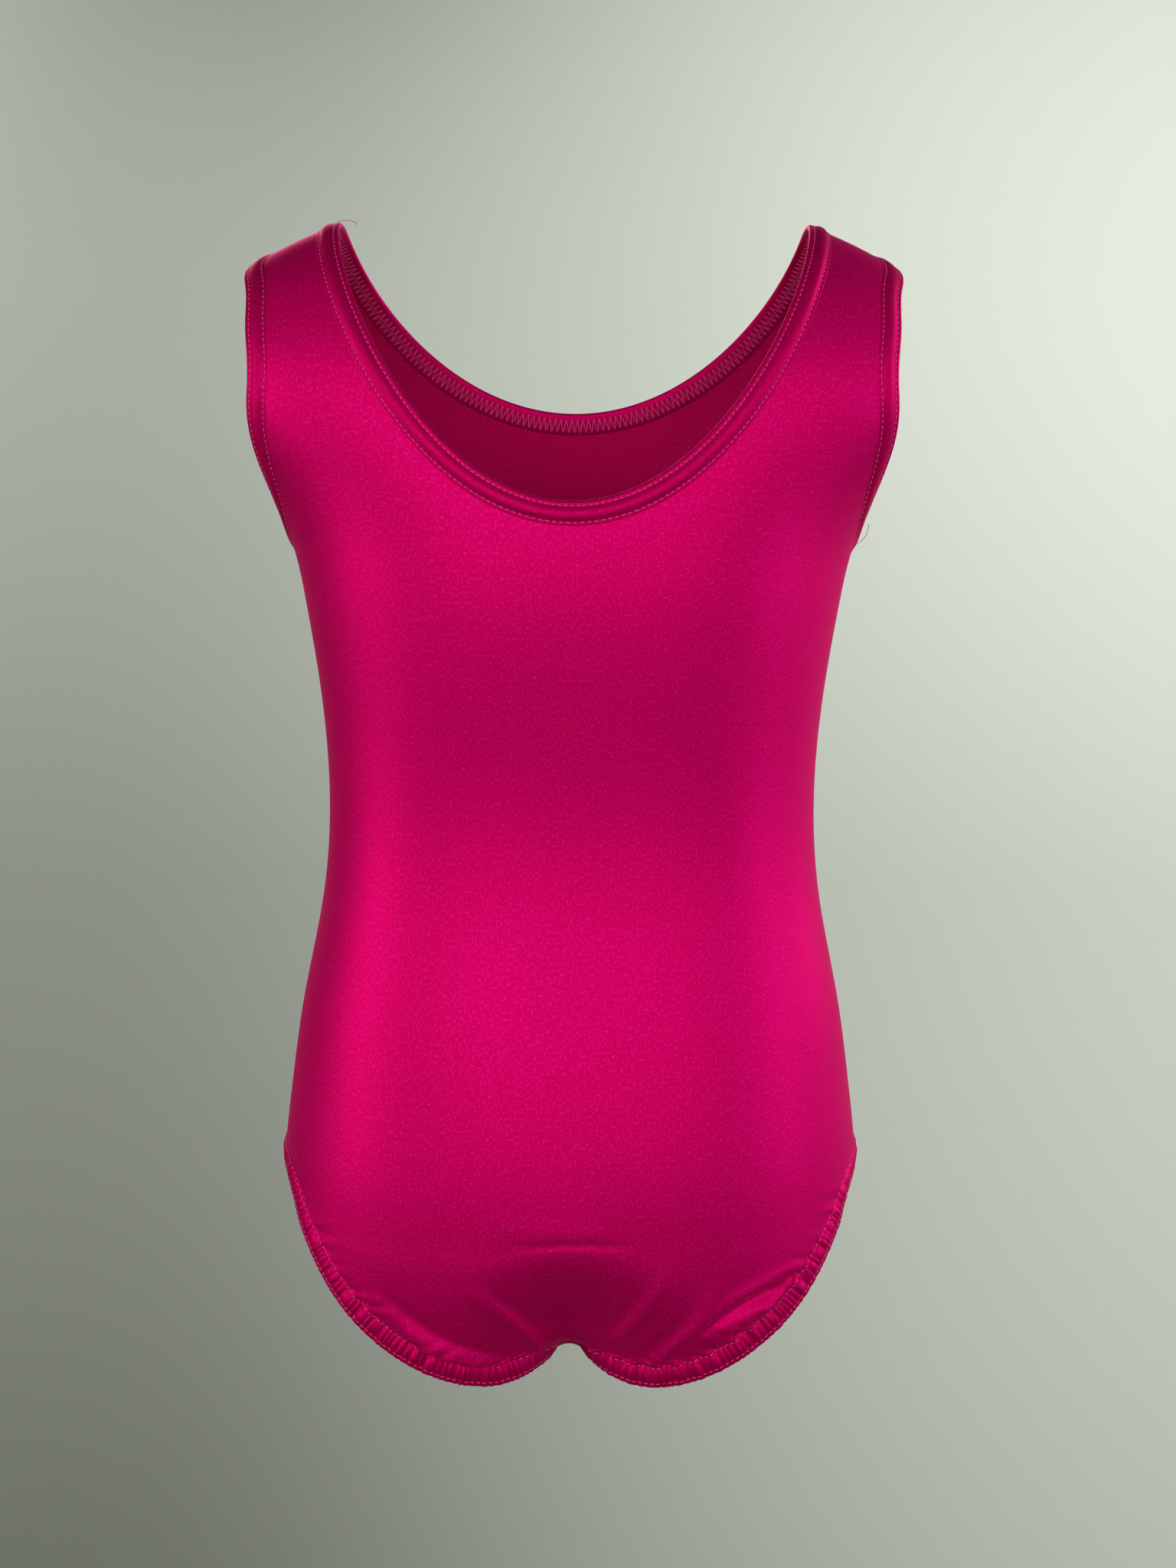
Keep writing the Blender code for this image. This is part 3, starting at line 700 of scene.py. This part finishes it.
FRONT_FOLDS = np.array(
    [
        (58.0, -428.0, 34.0, -440.0, 2.0, 0.9, 4.0),
        (76.0, -408.0, 44.0, -424.0, 2.5, 0.8, 4.5),
        (-64.0, -421.0, -36.0, -437.0, 1.5, 1.0, 4.2),
        (-80.0, -402.0, -52.0, -413.0, -2.0, 0.6, 4.0),
        (104.0, -136.0, 78.0, -152.0, 2.0, 0.5, 6.0),
        (-103.0, -137.0, -80.0, -149.0, 1.5, 0.45, 5.5),
    ],
    dtype=FOLD,
)
front_panel = add_panel("front_cloth", True, FRONT_FOLDS)
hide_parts("front_panel")

# Side, shoulder and crotch seams
# Both panels' edges overlocked together, face to face. The allowance is pressed to the back, so
# inside it is a narrow raised band, and outside only a fine groove shows.

SEAM_WIDTH = 5.0
# Across from the seam towards the back, and height over the panel's outer face.
SEAM_SECTION = np.array(
    [
        (0.0, -1.25),
        (SEAM_WIDTH, -1.25),
        (SEAM_WIDTH + 0.4, -1.6),
        (SEAM_WIDTH, -2.0),
        (0.0, -2.0),
        (-0.4, -1.6),
    ]
)
SEAM_RINGS = 90
UNDER_CASINGS = 8.0  # a seam's ends stop this far in from the free edges, under the casings


def six_sided_tube(rings):
    """Faces of one closed tube of rings of six points, with two faces on each end."""
    step = np.arange(rings - 1)[:, None] * 6
    one = step + np.arange(6)
    beside = step + (np.arange(6) + 1) % 6
    around = np.stack([one, beside, beside + 6, one + 6], axis=-1)
    start_cap = np.array([[0, 5, 4, 3], [0, 3, 2, 1]])
    end_cap = np.array([[0, 1, 2, 3], [0, 3, 4, 5]]) + 6 * (rings - 1)
    return np.concatenate([around.reshape(-1, 4), start_cap, end_cap])


def facing_out(points, faces):
    """The faces, turned over if the volume that they close comes out negative."""
    a, b, c, d = (points[faces[:, k]] for k in range(4))
    volume = (a * np.cross(b, c)).sum() + (a * np.cross(c, d)).sum()
    return faces if volume > 0 else faces[:, ::-1]


def add_seam(name, start, end, towards_back, sign=1):
    """The section carried evenly along the worn shape from one turn and level to another. Across
    runs in the direction of towards_back, a change of turn and level, at its true length."""
    share = np.linspace(0, 1, SEAM_RINGS)[:, None]
    line = np.array(start) * (1 - share) + np.array(end) * share
    line = evenly(np.concatenate([line, share], axis=1), SEAM_RINGS)
    run = distance_run(worn_shape(line[:, 0], line[:, 1]))
    kept = np.linspace(UNDER_CASINGS, run[-1] - UNDER_CASINGS, SEAM_RINGS)
    turn, level = (np.interp(kept, run, column)[:, None] for column in line[:, :2].T)
    by_turn, by_level = slopes_of_shape(turn, level)
    stretch = np.linalg.norm(by_turn * towards_back[0] + by_level * towards_back[1], axis=-1)
    across = SEAM_SECTION[:, 0] / stretch
    turn, level = turn + across * towards_back[0], level + across * towards_back[1]
    points = worn_shape(turn, level) + outward(turn, level) * SEAM_SECTION[:, 1:]
    points = (points * [sign, 1, 1]).reshape(-1, 3)
    knit = np.stack([points[:, 1], points[:, 2]], axis=1) * MM
    piece = new_mesh_object(name, points, facing_out(points, six_sided_tube(SEAM_RINGS)), knit)
    piece.data.materials.append(satin_wrong_side)
    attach(piece, "root")
    return piece


SIDE_TURN = np.pi / 2
CROTCH_TURN = LEG["turn"][0]
UNDERARM_ROW = 8
HIP_ROW = 14
crotch_ends = (-CROTCH_TURN, CROTCH_LEVEL), (CROTCH_TURN, CROTCH_LEVEL)
side_ends = (SIDE_TURN, ARMHOLE["level"][UNDERARM_ROW]), (SIDE_TURN, LEG["level"][HIP_ROW])
shoulder_ends = (SIDE_TURN, RINGS["z"][0]), (SIDE_TURN, ARMHOLE["level"][0])
seams = [add_seam("crotch_seam", *crotch_ends, (0, 1))]
for side, (sign, _) in SIDES.items():
    seams.append(add_seam(f"side_seam_{side}", *side_ends, (-1, 0), sign))
    seams.append(add_seam(f"shoulder_seam_{side}", *shoulder_ends, (-1, 0), sign))

# Neck casing
# The panels' neck edge turned in over 6 mm elastic all the way round, and held by two rows of
# coverstitch. It is the thickest edge, and stands up as a round roll.

# Section of a casing: across runs from the free edge to the panel, and height is over the panel's
# outer face. gather is the share of a pucker's height that the point takes.
SECTION = [("across", float), ("height", float), ("gather", float)]
CASING_OUTSIDE = np.array(
    [
        (0.00, -0.60, 0.1),
        (0.10, -0.20, 0.2),
        (0.40, 0.15, 0.4),
        (0.90, 0.35, 0.6),
        (1.50, 0.34, 0.6),
        (2.00, 0.26, 0.4),  # first row of stitches
        (2.50, 0.38, 0.6),
        (3.20, 0.62, 0.9),
        (4.20, 0.88, 1.0),
        (5.20, 0.92, 1.0),  # over the elastic
        (6.20, 0.84, 1.0),
        (7.10, 0.58, 0.9),
        (7.80, 0.24, 0.6),
        (8.25, 0.08, 0.4),  # second row of stitches
        (8.80, 0.14, 0.3),
        (9.40, 0.05, 0.1),
        (9.80, -0.25, 0.0),
    ],
    dtype=SECTION,
)
CASING_INSIDE = np.array(
    [
        (9.40, -1.30, 0.0),
        (8.90, -1.85, 0.1),  # raw edge, turned in
        (7.00, -1.95, 0.2),
        (5.00, -2.00, 0.2),
        (3.00, -1.95, 0.2),
        (1.20, -1.80, 0.2),
        (0.40, -1.45, 0.2),
        (0.08, -1.00, 0.1),
    ],
    dtype=SECTION,
)
CASING_SECTION = np.concatenate([CASING_OUTSIDE, CASING_INSIDE])
NECK_PROUD_TIMES = 1.5
NECK_COLUMNS = 640


def casing_height(section, proud_times, share, side, puckers):
    """Height of a casing's point over the worn shape: the section's own, its proud part times
    proud_times, and the pucker's share of it."""
    height = section["height"] + 0 * share
    height = np.maximum(height, 0) * proud_times + np.minimum(height, 0)
    if puckers:
        height = height + section["gather"] * pucker_rise(share, side)
        height = height + np.clip(section["across"] / CASING_WIDTH, 0, 1) * scallops(share, side)
    return height


def on_edge(walk, share, across, height):
    """Points at that height over the worn shape, by share round an edge and distance in from it,
    with the edge's flare fading to the panel. Also gives the outward direction."""
    turn, level, flare = np.moveaxis(place_by_edge(walk, share, across), -1, 0)
    normal = outward(turn, level)
    height = height + flare * np.maximum(1 - across / CASING_WIDTH, 0)
    return worn_shape(turn, level) + normal * height[..., None], normal


def tube_faces(columns, corners):
    """Quads round a closed tube of columns of corners."""
    column, corner = np.meshgrid(np.arange(columns), np.arange(corners), indexing="ij")
    next_column, next_corner = (column + 1) % columns, (corner + 1) % corners
    rows = [
        column * corners + corner,
        column * corners + next_corner,
        next_column * corners + next_corner,
        next_column * corners + corner,
    ]
    return np.stack([row.ravel() for row in rows], axis=1)


def add_casing(name, node, walk, length, columns, side="left", proud_times=1.0, puckers=False):
    """A section carried round an edge as a closed tube."""
    share = np.arange(columns)[:, None] / columns
    section = CASING_SECTION[None, :]
    height = casing_height(section, proud_times, share, side, puckers)
    across = np.broadcast_to(section["across"], height.shape)
    points, _ = on_edge(walk, share, across, height)
    points = points * [SIDES[side][0], 1, 1]
    corners = points.shape[1]
    run = np.broadcast_to(share * length, height.shape)
    knit = np.stack([run, across], axis=-1).reshape(-1, 2) * MM
    points = points.reshape(-1, 3)
    faces = facing_out(points, tube_faces(columns, corners))
    piece = new_mesh_object(name, points, faces, knit)
    piece.data.materials.append(satin_casing)
    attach(piece, "root")
    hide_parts(node)
    return piece


# Satin knit in three layers over elastic: less light comes through, so it looks a shade deeper.
satin_casing = satin_knit(
    "satin knit, turned in over elastic", "#BE0054", "#D7146C", "#B4004F", 0.58, 0.5, 0.15
)
neck_casing = add_casing(
    "neck_hem", "neck_casing", NECK_WALK, NECK_LENGTH, NECK_COLUMNS, proud_times=NECK_PROUD_TIMES
)

# Armhole casings
# Turned in and stitched as the neck is, over a thinner elastic, so they lie nearly flat.

ARMHOLE_COLUMNS = 420
armhole_casings = [
    add_casing(
        f"armhole_hem_{side}",
        f"armhole_casing_{side}",
        ARMHOLE_WALK,
        ARMHOLE_LENGTH,
        ARMHOLE_COLUMNS,
        side,
    )
    for side in SIDES
]

# Leg casings
# Turned in over elastic that is shorter than the cloth, so each casing stands in fine puckers.
# They are strongest under the seat and weakest over the hips.

LEG_COLUMNS = 1500
PUCKER_PITCH = 3.0
PUCKER_HEIGHT = 1.05
PUCKER_SHARPNESS = 0.7
PUCKER_MIDDLE = 0.55  # crests and valleys are measured from this share of a crest
PUCKER_DRIFTS = ((31.0, 0.45), (11.0, 0.2))  # pitch and swing of the phase's wandering
PUCKER_SIZE_PITCH = 9.0
PUCKER_SIZE_SWING = 0.3


def pucker_rise(share, side):
    """Round crests and sharp valleys: a power of a sine's size, whose phase runs unevenly."""
    _, seed = SIDES[side]
    count = round(LEG_LENGTH / PUCKER_PITCH)
    drift = 0
    for number, (pitch, swing) in enumerate(PUCKER_DRIFTS, start=1):
        drift = drift + uneven_wave(share, LEG_LENGTH, pitch, seed + number) * swing
    crest = np.abs(np.sin(np.pi * (count * share + drift))) ** PUCKER_SHARPNESS
    size = 1 + PUCKER_SIZE_SWING * uneven_wave(share, LEG_LENGTH, PUCKER_SIZE_PITCH, seed + 3)
    strength = np.interp(share, GATHER_SHARES, GATHER_STRENGTH)
    return PUCKER_HEIGHT * strength * size * (crest - PUCKER_MIDDLE)


leg_casings = [
    add_casing(
        f"leg_hem_{side}",
        f"leg_casing_{side}",
        LEG_WALK,
        LEG_LENGTH,
        LEG_COLUMNS,
        side,
        puckers=True,
    )
    for side in SIDES
]

# Coverstitch
# Two rows of straight stitches on the outside of each casing, of spun polyester thread a little
# lighter than the cloth. Inside, one looper thread zigzags between the rows over the raw edge.

STITCH_PITCH = 2.3
STITCH_LENGTH = 1.4
THREAD_RADIUS = 0.19
LOOPER_RADIUS = 0.13
STITCH_SINK = 0.3  # the thread's centre lies this share of its radius over the cloth
STITCH_ARCH = 0.08
LOOPER_ARCH = 0.05
STITCH_ROWS = (2.0, 8.25)  # distance in from the free edge
LOOPER_ROWS = (2.3, 8.3)
LOOPER_HEIGHT = -2.05


def thread_dashes(start, end, normal, radius, arch):
    """Capsules from each start to its end: rings of six points on a circle, whose radius follows
    a half sine's power and whose centre arches outward in the middle."""
    ring_share = np.array([0.0, 0.12, 0.5, 0.88, 1.0])
    ring_size_share = np.array([0.25, 0.85, 1.0, 0.85, 0.25])
    angle = np.arange(6) * np.pi / 3
    along = unit(end - start)
    side = unit(np.cross(normal, along))
    up = np.cross(along, side)
    centre = start[:, None] + (end - start)[:, None] * ring_share[:, None]
    centre = centre + up[:, None] * (arch * np.sin(np.pi * ring_share))[:, None]
    sideways = side[:, None, None] * np.cos(angle)[:, None]
    upwards = up[:, None, None] * np.sin(angle)[:, None]
    circles = (sideways + upwards) * (radius * ring_size_share)[:, None, None]
    points = centre[:, :, None] + circles
    rings = len(ring_share)
    firsts = np.arange(len(start))[:, None, None] * 6 * rings
    return points.reshape(-1, 3), (six_sided_tube(rings) + firsts).reshape(-1, 4)


def height_at(across, proud_times, share, side, puckers):
    """Height of a casing's outside at any distance in from its edge."""
    section = np.zeros(np.shape(share), dtype=SECTION)
    section["across"] = across
    for name in ("height", "gather"):
        section[name] = np.interp(across, CASING_OUTSIDE["across"], CASING_OUTSIDE[name])
    return casing_height(section, proud_times, share, side, puckers)


def add_stitches(name, walk, length, side="left", proud_times=1.0, puckers=False):
    """Dashes along both rows, the second half a pitch on, and the looper's zigzag inside."""
    count = round(length / STITCH_PITCH)
    half = STITCH_LENGTH / length / 2
    parts = []
    for number, across in enumerate(STITCH_ROWS):
        middle = (np.arange(count) + 0.5 * number) / count
        ends = []
        for share in ((middle - half) % 1, (middle + half) % 1):
            height = height_at(across, proud_times, share, side, puckers)
            height = height + THREAD_RADIUS * STITCH_SINK
            ends.append(on_edge(walk, share, np.full(count, across), height))
        (start, normal), (end, _) = ends
        parts.append(thread_dashes(start, end, normal, THREAD_RADIUS, STITCH_ARCH))
    share = np.arange(2 * count) / (2 * count)
    across = np.where(np.arange(2 * count) % 2, LOOPER_ROWS[0], LOOPER_ROWS[1])
    height = np.full(2 * count, LOOPER_HEIGHT)
    start, normal = on_edge(walk, share, across, height)
    end, _ = on_edge(walk, np.roll(share, -1), np.roll(across, -1), height)
    parts.append(thread_dashes(start, end, -normal, LOOPER_RADIUS, LOOPER_ARCH))
    starts = np.cumsum([0] + [len(points) for points, _ in parts])
    points = np.concatenate([points for points, _ in parts]) * [SIDES[side][0], 1, 1]
    faces = np.concatenate([faces + first for (_, faces), first in zip(parts, starts)])
    piece = new_mesh_object(name, points, facing_out(points, faces))
    piece.data.materials.append(thread)
    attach(piece, "root")
    return piece


# Spun polyester sewing thread: matt in its shader, and a pink painted lighter than the satin to
# stand in for the thread's sheen.
thread, thread_tree, thread_shader = new_material("spun polyester thread")
TWIST_PITCH = 0.5 * MM
twist = add_node(thread_tree, "ShaderNodeTexNoise", {"Scale": 1 / TWIST_PITCH, "Detail": 1.0})
place = add_node(thread_tree, "ShaderNodeTexCoord")
thread_tree.links.new(place.outputs["Object"], twist.inputs["Vector"])
twisted = add_node(
    thread_tree,
    "ShaderNodeMix",
    {},
    {"Factor": twist.outputs["Fac"]},
    data_type="RGBA",
)
# Painted sheen: both pinks are lighter than the satin in place of the thread's own sheen.
twisted.inputs[6].default_value = linear("#D42C78")
twisted.inputs[7].default_value = linear("#F064A0")
thread_tree.links.new(twisted.outputs[2], thread_shader.inputs["Base Color"])
thread_shader.inputs["Roughness"].default_value = 0.7
thread_shader.inputs["Specular IOR Level"].default_value = 0.2

stitches = [add_stitches("neck_stitches", NECK_WALK, NECK_LENGTH, proud_times=NECK_PROUD_TIMES)]
for side in SIDES:
    stitches.append(add_stitches(f"armhole_stitches_{side}", ARMHOLE_WALK, ARMHOLE_LENGTH, side))
    stitches.append(add_stitches(f"leg_stitches_{side}", LEG_WALK, LEG_LENGTH, side, puckers=True))

# Loose thread ends
# Two ends of the sewing thread that nobody trimmed: one curls out under the right arm, and one
# lies over the left shoulder seam at the neck.

LOOSE_ENDS = np.array(
    [
        [
            (-112.0, 2.0, -128.0),
            (-115.0, 3.5, -126.9),
            (-118.1, 3.7, -124.6),
            (-119.7, 3.3, -121.7),
            (-120.2, 3.0, -118.8),
        ],
        [
            (95.5, 1.0, 0.6),
            (92.0, 3.0, 1.1),
            (89.0, 4.0, 0.6),
            (87.0, 6.5, -0.5),
            (86.6, 9.0, -1.9),
        ],
    ]
)
LOOSE_RINGS = 24
LOOSE_RADIUS = 0.13


def loose_end(knots):
    """A thin tube of rings of six along a spline through the knots, square to the path."""
    share, places = np.linspace(0, 1, len(knots)), np.linspace(0, 1, LOOSE_RINGS)
    path = np.stack([spline(share, column, places) for column in knots.T], axis=1)
    along = unit(np.gradient(path, axis=0))
    side = unit(np.cross(along, [0.2, 1.0, 0.3]))
    up = np.cross(along, side)
    angle = (np.arange(6) * np.pi / 3)[:, None]
    circle = side[:, None] * np.cos(angle) + up[:, None] * np.sin(angle)
    return (path[:, None] + LOOSE_RADIUS * circle).reshape(-1, 3)


points = np.concatenate([loose_end(knots) for knots in LOOSE_ENDS])
firsts = 6 * LOOSE_RINGS * np.arange(len(LOOSE_ENDS))
faces = np.concatenate([six_sided_tube(LOOSE_RINGS) + first for first in firsts])
loose_ends = new_mesh_object("loose_thread_ends", points, facing_out(points, faces))
loose_ends.data.materials.append(thread)
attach(loose_ends, "root")

# Studio
# A pale floor that curves up all round into a plain wall, with soft light and the camera.

FLOOR = -2.0
WALL_RADIUS = 2.7
CORNER_RADIUS = 1.3
WALL_HEIGHT = 6.5


def studio_bowl():
    """A profile of a flat floor, a quarter circle and a straight wall, turned about the z axis."""
    flat = np.stack([np.linspace(1e-4, WALL_RADIUS - CORNER_RADIUS, 12), np.zeros(12)], axis=1)
    turn = np.linspace(0, np.pi / 2, 24)[1:]
    corner = np.stack([np.sin(turn), 1 - np.cos(turn)], axis=1) * CORNER_RADIUS
    corner = corner + [WALL_RADIUS - CORNER_RADIUS, 0]
    wall = [[WALL_RADIUS, WALL_HEIGHT]]
    profile = np.concatenate([flat, corner, wall])
    angle = np.linspace(0, 2 * np.pi, 97)
    x = profile[:, :1] * np.cos(angle)
    y = profile[:, :1] * np.sin(angle)
    z = np.broadcast_to(profile[:, 1:] + FLOOR, x.shape)
    points = np.stack([x, y, z], axis=-1) / MM
    return points.reshape(-1, 3), grid_faces(*x.shape)


studio = new_mesh_object("studio_floor", *studio_bowl())
# Matt emulsion paint, which gives a plain wall with no glint of the lamps.
paint, _, paint_shader = new_material("matt wall paint")
paint_shader.inputs["Base Color"].default_value = linear("#BDC1B8")
paint_shader.inputs["Roughness"].default_value = 0.95
paint_shader.inputs["Specular IOR Level"].default_value = 0.1
studio.data.materials.append(paint)


def add_light(name, place, aim, width, height, watts, spread, colour="#FFFFFF"):
    """A soft rectangular light. Places and sizes are in metres, the spread in degrees."""
    light = bpy.data.lights.new(name, "AREA")
    light.spread = np.radians(spread)
    light.shape = "RECTANGLE"
    light.size, light.size_y = width, height
    light.energy = watts
    light.color = linear(colour)[:3]
    lamp = bpy.data.objects.new(name, light)
    lamp.location = place
    lamp.rotation_euler = (Vector(aim) - Vector(place)).to_track_quat("-Z", "Y").to_euler()
    lamp.visible_camera = False
    bpy.context.scene.collection.objects.link(lamp)


add_light("left window", (0.72, 1.9, 0.25), (0.0, 0.0, -0.26), 1.3, 1.1, 3.3, 80)
add_light("right window", (-0.72, 1.9, 0.25), (0.0, 0.0, -0.26), 1.3, 1.1, 2.8, 80)
add_light("left side window", (1.7, 0.6, -0.1), (0.0, 0.0, -0.34), 0.6, 1.2, 1.6, 60)
add_light("right side window", (-1.7, 0.6, -0.1), (0.0, 0.0, -0.34), 0.6, 1.2, 1.3, 60, "#E8EAFF")
add_light("far right window", (-1.6, -0.5, 0.3), (0.0, 0.0, -0.22), 0.6, 1.0, 2.1, 60, "#E8EAFF")
add_light("front window", (0.5, -2.0, 0.5), (0.0, 0.0, -0.22), 1.4, 1.0, 4.5, 80)
add_light("right wall light", (0.9, -0.4, 1.4), (-1.6, -2.4, -0.4), 0.8, 0.8, 34.0, 80)
add_light("left wall light", (0.9, -0.4, 1.4), (1.6, -2.4, 0.2), 0.8, 0.8, 10.0, 70)

world = bpy.data.worlds.new("soft daylight")
world.use_nodes = True
background = world.node_tree.nodes["Background"]
background.inputs["Color"].default_value = linear("#F2F4F0")
background.inputs["Strength"].default_value = 0.03
bpy.context.scene.world = world
bpy.context.scene.view_settings.view_transform = "Standard"
bpy.context.scene.view_settings.look = "None"

LENS = 52.0
SENSOR = 36.0
CAMERA_PLACE = (-0.0066, 0.930, -0.1127)
CAMERA_DOWN = 6.95  # degrees
CAMERA_ROLL = 0.3
camera_data = bpy.data.cameras.new("camera")
camera_data.lens = LENS
camera_data.sensor_width = SENSOR
camera_data.clip_start = 0.05
camera = bpy.data.objects.new("camera", camera_data)
facing = Matrix.Rotation(np.pi, 4, "Z") @ Matrix.Rotation(np.radians(90 - CAMERA_DOWN), 4, "X")
roll = Matrix.Rotation(np.radians(CAMERA_ROLL), 4, "Z")
camera.matrix_world = Matrix.Translation(CAMERA_PLACE) @ facing @ roll
bpy.context.scene.collection.objects.link(camera)
bpy.context.scene.camera = camera

bpy.context.view_layer.update()
